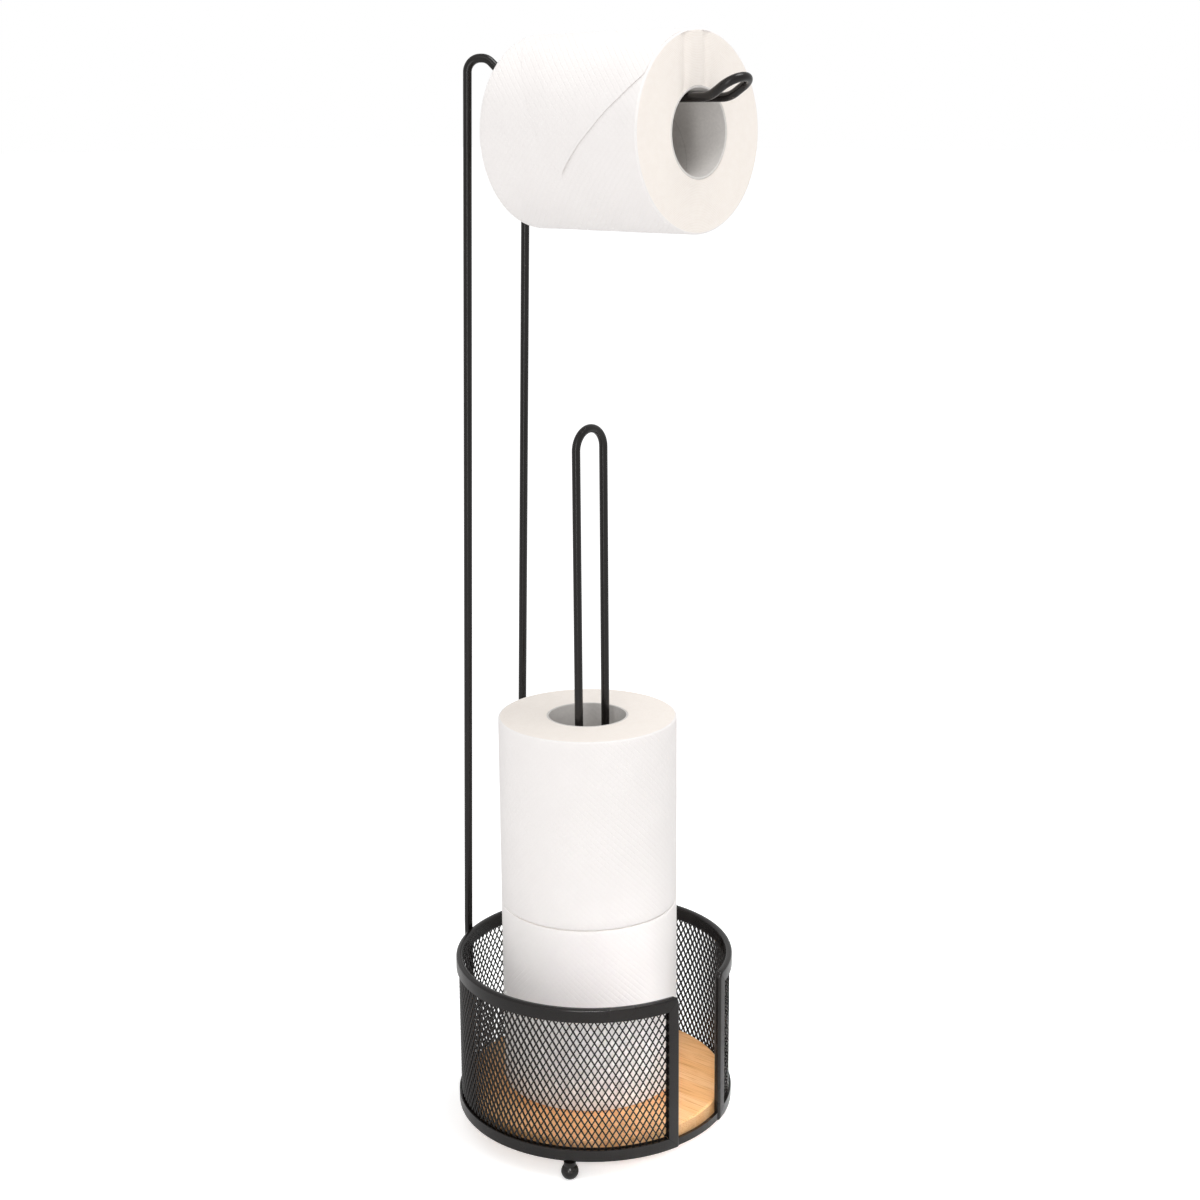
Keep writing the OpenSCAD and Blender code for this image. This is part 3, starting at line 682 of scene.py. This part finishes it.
class HOLDER_OT_expand_mesh(bpy.types.Operator):
    """Slits and stretches the expanded metal sheet of the basket wall"""
    bl_idname = "holder.expand_mesh"
    bl_label = "Expand the mesh"

    def execute(self, context):
        basket = context.scene.holder_basket
        # The sheet lies in the middle of the trims, and ends just short of the folds at the rim and sides
        wall_r = basket.diameter / 2 - basket.trim_thickness / 2
        margin = basket.trim_sheet + 0.1 * MM
        half_gap = (basket.opening / 2 + margin) / (basket.diameter / 2)
        top = basket.ground + basket.height - margin
        # The grid's points are the diamonds' middles and corners, in turn
        columns = basket.diamond_columns * 2
        rows = basket.diamond_rows * 2
        turn_step = (2 * math.pi - 2 * half_gap) / columns
        rise_step = (top - basket.mesh_foot) / rows
        slope = math.atan2(rise_step, turn_step * wall_r)
        # Distance from a diamond's middle to a corner of its hole, in steps of the grid
        hole = 1 - basket.strand / 2 / math.sin(slope) / (turn_step * wall_r)
        half_sheet = basket.mesh_sheet / 2
        points = []
        faces = []

        def add_pair(i, j, lean):
            """The outer and inner point at a place on the grid; returns the outer one's number."""
            angle = half_gap + i * turn_step
            z = basket.mesh_foot + j * rise_step
            for r in (wall_r + lean + half_sheet, wall_r + lean - half_sheet):
                points.append((r * math.sin(angle), -r * math.cos(angle), z))
            return len(points) - 2

        def add_wall(a, b):
            """The face through the sheet between two pairs of points."""
            faces.append([a, b, b + 1, a + 1])

        grid = {(i, j): add_pair(i, j, 0) for i in range(columns + 1) for j in range(rows + 1)}
        ways = [(1, 0), (0, 1), (-1, 0), (0, -1)]
        for i, j in list(grid):
            if (i + j) % 2:
                continue
            if 0 < i < columns and 0 < j < rows:
                # A whole diamond: its hole, and the strands from the hole to the diamond's corners
                corners = [grid[i + x, j + y] for x, y in ways]
                rim = [add_pair(i + x * hole, j + y * hole, x * basket.strand_tilt) for x, y in ways]
                for k in range(4):
                    a, b = corners[k], corners[(k + 1) % 4]
                    c, d = rim[k], rim[(k + 1) % 4]
                    faces.append([a, b, d, c])
                    faces.append([a + 1, c + 1, d + 1, b + 1])
                    add_wall(c, d)
                continue
            # Part of a diamond at the sheet's edge stays solid
            near = [grid[i + x, j + y] for x, y in ways if (i + x, j + y) in grid]
            if len(near) == 2:
                near = [grid[i, j]] + near
            faces.append(near)
            faces.append([n + 1 for n in reversed(near)])
        level = [i for i in range(columns + 1) if i % 2 or i in (0, columns)]
        upright = [j for j in range(rows + 1) if j % 2 or j in (0, rows)]
        for edge in (0, rows):
            for i, n in zip(level, level[1:]):
                add_wall(grid[i, edge], grid[n, edge])
        for edge in (0, columns):
            for j, n in zip(upright, upright[1:]):
                add_wall(grid[edge, j], grid[edge, n])
        piece = add_coated("expanded_mesh", points, faces, smooth=30)
        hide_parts("mesh_wall")
        return {"FINISHED"}


def roll_places(rolls):
    """Where each roll goes, and its width, by the name of its body."""
    back = rolls.hanging_width - rolls.hang_front
    hang = Matrix.Translation((0, back, rolls.hang_height)) @ Matrix.Rotation(math.pi / 2, 4, "X")
    upper = Matrix.Translation((rolls.spare_x, rolls.spare_y, rolls.upper_foot))
    lower = Matrix.Translation((rolls.spare_x, rolls.spare_y, rolls.lower_foot))
    return {"hanging_roll": (hang, rolls.hanging_width), "upper_roll": (upper, rolls.width),
            "lower_roll": (lower, rolls.width)}


def roll_section(rolls, width):
    """Outline of a wound roll: the radius and height of each ring, and whether it lies on a cut end."""
    end_steps = 30
    side_steps = 24
    bore = rolls.core_bore / 2 + rolls.core_wall + 0.05 * MM
    outer = rolls.diameter / 2
    soft = rolls.soft_edge
    lower = [(bore + (outer - soft - bore) * k / end_steps, 0, True) for k in range(end_steps + 1)]
    for degrees in (22.5, 45, 67.5, 90):
        a = math.radians(degrees)
        lower.append((outer - soft * (1 - math.sin(a)), soft * (1 - math.cos(a)), False))
    side = [(outer, soft + (width - 2 * soft) * k / side_steps, False) for k in range(1, side_steps)]
    upper = [(r, width - z, cut) for r, z, cut in reversed(lower)]
    return lower + side + upper


def arm_dent(x, wire):
    """Share of the dents that the arm's two wires pressed into the roll's face on its way on."""
    # The roll went on a little to one side
    aside = 3 * MM
    off = (abs(x + aside) - wire.arm_spacing / 2) / (wire.diameter / 2)
    return math.exp(-off * off)


class HOLDER_OT_wind_rolls(bpy.types.Operator):
    """Winds the tissue of the three rolls, with soft edges and slightly uneven ends"""
    bl_idname = "holder.wind_rolls"
    bl_label = "Wind the rolls"

    def execute(self, context):
        rolls = context.scene.holder_rolls
        wire = context.scene.holder_wire
        sides = 240
        # How much the layers and the broad waves move the paper, in millimetres
        layer_unevenness = 0.12
        end_wave = 0.1
        side_wave = 0.25
        layers_per_mm = 0.9
        wave_length = 35 * MM
        dent_depth = 0.9 * MM
        for n, (name, (place, width)) in enumerate(roll_places(rolls).items()):
            # Each roll takes its own part of the noise
            layer_shift = n * 7.0
            wave_shift = Vector((n * 5.0, 0, 0))
            section = roll_section(rolls, width)
            points = []
            for radius, z, cut in section:
                for angle in round_angles(sides):
                    where = Vector((math.cos(angle) * radius, math.sin(angle) * radius, z))
                    layer = noise.noise(Vector((radius / MM * layers_per_mm, layer_shift, z / MM)))
                    wave = noise.noise(where / wave_length + wave_shift)
                    if not cut:
                        scale = 1 - side_wave * MM * abs(wave) / radius
                        points.append((where.x * scale, where.y * scale, z))
                        continue
                    inwards = (layer_unevenness * abs(layer) + end_wave * abs(wave)) * MM
                    upper_end = z > width / 2
                    if name == "upper_roll" and not upper_end:
                        inwards -= rolls.sag
                    if name == "hanging_roll" and upper_end and where.y > 0:
                        inwards += dent_depth * arm_dent(where.x, wire)
                    points.append((where.x, where.y, z - inwards if upper_end else z + inwards))
            # The last band of faces joins both ends through the bore
            faces = ring_faces(len(section), sides, closed_round=True)
            cuts = [cut for radius, z, cut in section]
            face_material = []
            for here, there in zip(cuts, cuts[1:] + cuts[:1]):
                face_material += [int(here and there)] * sides
            piece = add_piece("wound_" + name, points, faces, name,
                              [embossed_tissue(), wound_tissue_ends()], face_material, place)
            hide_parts(name + "_paper")
        return {"FINISHED"}


class HOLDER_OT_roll_cores(bpy.types.Operator):
    """Cuts the cardboard cores, with soft cut edges and the step of the spiral ply"""
    bl_idname = "holder.roll_cores"
    bl_label = "Cut the cores"

    def execute(self, context):
        rolls = context.scene.holder_rolls
        bore = rolls.core_bore / 2
        outer = bore + rolls.core_wall
        soft = 0.25 * MM
        ply_step = 0.12 * MM
        sides = 128
        levels = 24
        for name, (place, width) in roll_places(rolls).items():
            profile = [(outer - soft, 0), (bore + soft, 0)]
            profile += [(bore, soft + (width - 2 * soft) * k / levels) for k in range(levels + 1)]
            profile += [(bore + soft, width), (outer - soft, width)]
            profile += [(outer, width - soft), (outer, soft)]
            points = []
            for radius, z in profile:
                for angle in round_angles(sides):
                    r = radius
                    if radius < outer - soft:
                        r += ply_step * ((z / PLY_WIDTH + angle / (2 * math.pi)) % 1)
                    points.append((r * math.cos(angle), r * math.sin(angle), z))
            faces = ring_faces(len(profile), sides, closed_round=True)
            piece = add_piece("card_core_of_" + name, points, faces, name,
                              [spiral_wound_card()], place=place)
            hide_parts(name + "_core")
        return {"FINISHED"}


def share_at(edge, degrees):
    """Where a folded edge lies at an angle, as a share of the roll's width."""
    for (a, s), (b, t) in zip(edge, edge[1:]):
        if degrees <= b:
            return s + (t - s) * max(0, degrees - a) / (b - a)
    return edge[-1][1]


class HOLDER_OT_fold_tail(bpy.types.Operator):
    """Folds the hanging roll's loose end to a point that lies on its side"""
    bl_idname = "holder.fold_tail"
    bl_label = "Fold the loose end"

    def execute(self, context):
        rolls = context.scene.holder_rolls
        outer = rolls.diameter / 2
        place, width = roll_places(rolls)["hanging_roll"]
        # Both folded edges, as (angle down from the top in degrees, share of the roll's width)
        near_edge = [(15, 1.0), (54, 1.0), (59, 0.974), (70, 0.886), (78, 0.811), (88, 0.725),
                     (96, 0.651), (107, 0.56), (113, 0.516)]
        far_edge = [(15, 0.0), (40, 0.14), (64, 0.26), (82, 0.35), (99, 0.42), (107, 0.46), (113, 0.51)]
        start = math.radians(near_edge[0][0])
        tip = math.radians(near_edge[-1][0])
        # Down to the first of these angles the near edge runs along the roll's end and clings to it
        clings_to = 46
        free_from = 60
        # The thickness fades out towards the start, the far edge and the clinging near edge
        start_fade = math.radians(30)
        far_fade = 14 * MM
        cling_fade = 12 * MM
        # The near edge and the tip are rounded off
        edge_thickness = 0.12
        fold_thickness = 0.28
        rounding = 0.6 * MM
        thinnest = 0.02 * MM
        # They stand off the roll a little, each over its own reach
        gap = 0.02 * MM
        tip_lift = 0.5 * MM
        tip_reach = 30 * MM
        edge_lift = 0.4 * MM
        edge_reach = 6 * MM
        rows = 90
        columns = 40
        row_size = columns + 1
        points = []
        for layer in (1, 0):
            for i in range(rows + 1):
                angle = start + (tip - start) * i / rows
                low = share_at(far_edge, math.degrees(angle))
                high = share_at(near_edge, math.degrees(angle))
                free = min(1, max(0, (math.degrees(angle) - clings_to) / (free_from - clings_to)))
                from_tip = (tip - angle) * outer
                for k in range(row_size):
                    across = k / columns
                    from_near = (1 - across) * (high - low) * width
                    from_far = across * (high - low) * width
                    merge = min(1, (angle - start) / start_fade, 0.05 + from_far / far_fade)
                    merge *= max(free, min(1, from_near / cling_fade))
                    crown = min(1, min(from_near, from_tip) / rounding)
                    thick = (edge_thickness + fold_thickness * math.sqrt(crown)) * MM * merge
                    thick = max(thinnest, thick)
                    lift = tip_lift * max(0, 1 - from_tip / tip_reach) ** 2
                    lift += edge_lift * max(0, 1 - from_near / edge_reach) ** 2 * free
                    r = outer + gap + lift + layer * thick
                    z = (low + (high - low) * across) * width
                    z = min(max(z, rolls.soft_edge), width - rolls.soft_edge)
                    points.append((-r * math.sin(angle), r * math.cos(angle), z))
        layer_size = (rows + 1) * row_size
        faces = []
        for i in range(rows):
            for k in range(columns):
                a = i * row_size + k
                quad = [a, a + 1, a + row_size + 1, a + row_size]
                faces.append(quad)
                faces.append([p + layer_size for p in reversed(quad)])
        outline = list(range(row_size))
        outline += [i * row_size + columns for i in range(1, rows + 1)]
        outline += [rows * row_size + k for k in range(columns - 1, -1, -1)]
        outline += [i * row_size for i in range(rows - 1, 0, -1)]
        for a, b in zip(outline, outline[1:] + outline[:1]):
            faces.append([a, b, b + layer_size, a + layer_size])
        piece = add_piece("folded_loose_end", points, faces, "hanging_roll",
                          [embossed_tissue()], place=place, smooth=60)
        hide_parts("hanging_roll_tail")
        return {"FINISHED"}


class HOLDER_OT_finish_metal_and_bamboo(bpy.types.Operator):
    """Gives the plain CAD pieces their coats: ring, tabs, plate, feet and welds, disc and screws"""
    bl_idname = "holder.finish_metal_and_bamboo"
    bl_label = "Coat the plain pieces"

    def execute(self, context):
        finishes = {
            powder_coated_steel: ("base_ring", "disc_tabs", "spindle_plate", "ball_feet", "leg_welds"),
            laminated_bamboo: ("bamboo_disc",),
            zinc_plated_steel: ("disc_screws", "spindle_screws"),
        }
        for finish, nodes in finishes.items():
            for node in nodes:
                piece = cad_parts[node]
                if not piece.material_slots:
                    raise RuntimeError(node + " has no material slot")
                for material_slot in piece.material_slots:
                    material_slot.material = finish()
        return {"FINISHED"}


def add_softbox(name, power, width, height, place, target, spread):
    """A soft lamp aimed at a point; the spread is in degrees."""
    lamp = bpy.data.lights.new(name, "AREA")
    lamp.energy = power
    lamp.shape = "RECTANGLE"
    lamp.size = width
    lamp.size_y = height
    lamp.spread = math.radians(spread)
    box = add_object(name, lamp)
    aim = Vector(target) - Vector(place)
    box.matrix_world = Matrix.Translation(place) @ aim.to_track_quat("-Z", "Y").to_matrix().to_4x4()


def seen_and_unseen(tree, seen, unseen):
    """A number that differs between what the camera sees and what lights the scene."""
    by_camera = add_node(tree, "LightPath").outputs["Is Camera Ray"]
    return ramp(tree, by_camera, (0, 1), (unseen, seen))


def pale_floor():
    """A matte white floor, lifted where the camera sees it so that only the shadow shows."""
    lift = bpy.context.scene.holder_stage.floor_lift

    def build(tree, finish):
        return {"Base Color": rgba(finish.floor), "Roughness": 0.9, "Specular IOR Level": 0.1,
                "Emission Color": (1, 1, 1, 1), "Emission Strength": seen_and_unseen(tree, lift, 0)}

    return new_material("pale_floor", build)


class HOLDER_OT_set_stage(bpy.types.Operator):
    """Lays the pale floor, sets the soft lights and places the camera"""
    bl_idname = "holder.set_stage"
    bl_label = "Set the stage"

    def execute(self, context):
        stage = context.scene.holder_stage
        floor_half = 30
        corners = [(x * floor_half, y * floor_half, 0) for x, y in ((-1, -1), (1, -1), (1, 1), (-1, 1))]
        floor_mesh = bpy.data.meshes.new("floor")
        floor_mesh.from_pydata(corners, [], [[0, 1, 2, 3]])
        floor_mesh.materials.append(pale_floor())
        floor = add_object("floor", floor_mesh)

        # The world is plain white where the camera sees it
        world = bpy.data.worlds.new("studio")
        world.use_nodes = True
        tree = world.node_tree
        tree.nodes.clear()
        light = add_node(tree, "Background", {"Color": (1, 1, 1, 1),
                                              "Strength": seen_and_unseen(tree, 1, stage.world)})
        add_node(tree, "OutputWorld", {"Surface": light.outputs["Background"]})
        context.scene.world = world

        # Each lamp's name, power, width, height, place, the point it lights, and its spread in degrees
        lamps = (
            ("key_softbox", stage.key, 1.2, 1.2, (-1.5, -0.5, 1.5), (0, 0, 0.28), 180),
            ("top_softbox", stage.top, 0.6, 0.6, (0.15, -0.5, 1.6), (0, 0, 0.1), 180),
            ("front_softbox", stage.front, 0.22, 1.4, (-1.35, -0.7, 0.3), (0, 0, 0.3), 180),
            ("basket_softbox", stage.basket, 0.1, 0.1, (-0.62, -0.56, 0.5), (0.045, -0.06, 0), 14),
        )
        for lamp in lamps:
            add_softbox(*lamp)

        camera_data = bpy.data.cameras.new("camera")
        camera_data.lens = stage.lens
        camera_data.shift_x = stage.shift_x
        camera_data.shift_y = stage.shift_y
        camera_data.clip_start = 0.05
        camera = add_object("camera", camera_data)
        look = Vector((math.sin(stage.yaw) * math.cos(stage.pitch),
                       math.cos(stage.yaw) * math.cos(stage.pitch),
                       -math.sin(stage.pitch)))
        level = Vector((math.cos(stage.yaw), -math.sin(stage.yaw), 0))
        upward = level.cross(look)
        right = math.cos(stage.roll) * level + math.sin(stage.roll) * upward
        top = right.cross(look)
        turn = Matrix((right, top, -look)).transposed().to_4x4()
        spin = Matrix.Rotation(stage.azimuth, 4, "Z")
        camera.matrix_world = spin @ Matrix.Translation((0, -stage.distance, stage.height)) @ turn
        context.scene.camera = camera
        context.scene.view_settings.view_transform = "Standard"
        return {"FINISHED"}


SETTINGS = {
    "holder_wire": WireSettings,
    "holder_basket": BasketSettings,
    "holder_rolls": RollSettings,
    "holder_finish": FinishSettings,
    "holder_stage": StageSettings,
}

STEPS = (
    HOLDER_OT_bend_support_wire,
    HOLDER_OT_bend_spindle,
    HOLDER_OT_fold_trims,
    HOLDER_OT_expand_mesh,
    HOLDER_OT_wind_rolls,
    HOLDER_OT_roll_cores,
    HOLDER_OT_fold_tail,
    HOLDER_OT_finish_metal_and_bamboo,
    HOLDER_OT_set_stage,
)


class HOLDER_PT_steps(bpy.types.Panel):
    """Lists the steps that build the holder, and its sizes and colours"""
    bl_label = "Roll holder"
    bl_space_type = "VIEW_3D"
    bl_region_type = "UI"
    bl_category = "Roll holder"

    def draw(self, context):
        for step in STEPS:
            self.layout.operator(step.bl_idname)
        for name, group in SETTINGS.items():
            box = self.layout.box()
            for prop in group.__annotations__:
                box.prop(getattr(context.scene, name), prop)


def register():
    """Registers the settings, the steps and the panel."""
    for name, group in SETTINGS.items():
        bpy.utils.register_class(group)
        setattr(bpy.types.Scene, name, PointerProperty(type=group))
    for step in STEPS + (HOLDER_PT_steps,):
        bpy.utils.register_class(step)


def unregister():
    """Removes what register added."""
    for step in (HOLDER_PT_steps,) + STEPS[::-1]:
        bpy.utils.unregister_class(step)
    for name, group in SETTINGS.items():
        delattr(bpy.types.Scene, name)
        bpy.utils.unregister_class(group)


def main():
    """Builds every piece and the stage."""
    register()
    for step in STEPS:
        group, call = step.bl_idname.split(".")
        getattr(getattr(bpy.ops, group), call)()


if __name__ == "__main__":
    main()
